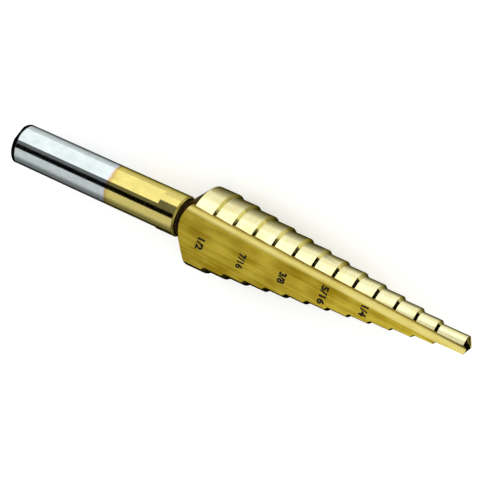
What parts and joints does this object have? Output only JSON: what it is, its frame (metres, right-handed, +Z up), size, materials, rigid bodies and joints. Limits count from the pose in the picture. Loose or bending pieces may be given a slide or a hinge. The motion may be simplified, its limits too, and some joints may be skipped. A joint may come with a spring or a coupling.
{
  "type": "step drill",
  "caption": "Step drill: a conical body of stepped lands with one straight flute and a starting point, on a round shank with jaw flats.",
  "frame": {"origin": "centre of the lowest plane of the drill's bounding box, on the surface that the drill lies on", "axes": "+X along the drill's axis towards its point, +Z up, with the flute facing up"},
  "size_m": [0.0764, 0.0122, 0.0112],
  "materials": {
    "coated_steel": "ground high-speed steel; gold titanium nitride coat on the body and the front of the shank"
  },
  "bodies": {
    "root": {"step_drill": "coated_steel"}
  },
  "joints": []
}
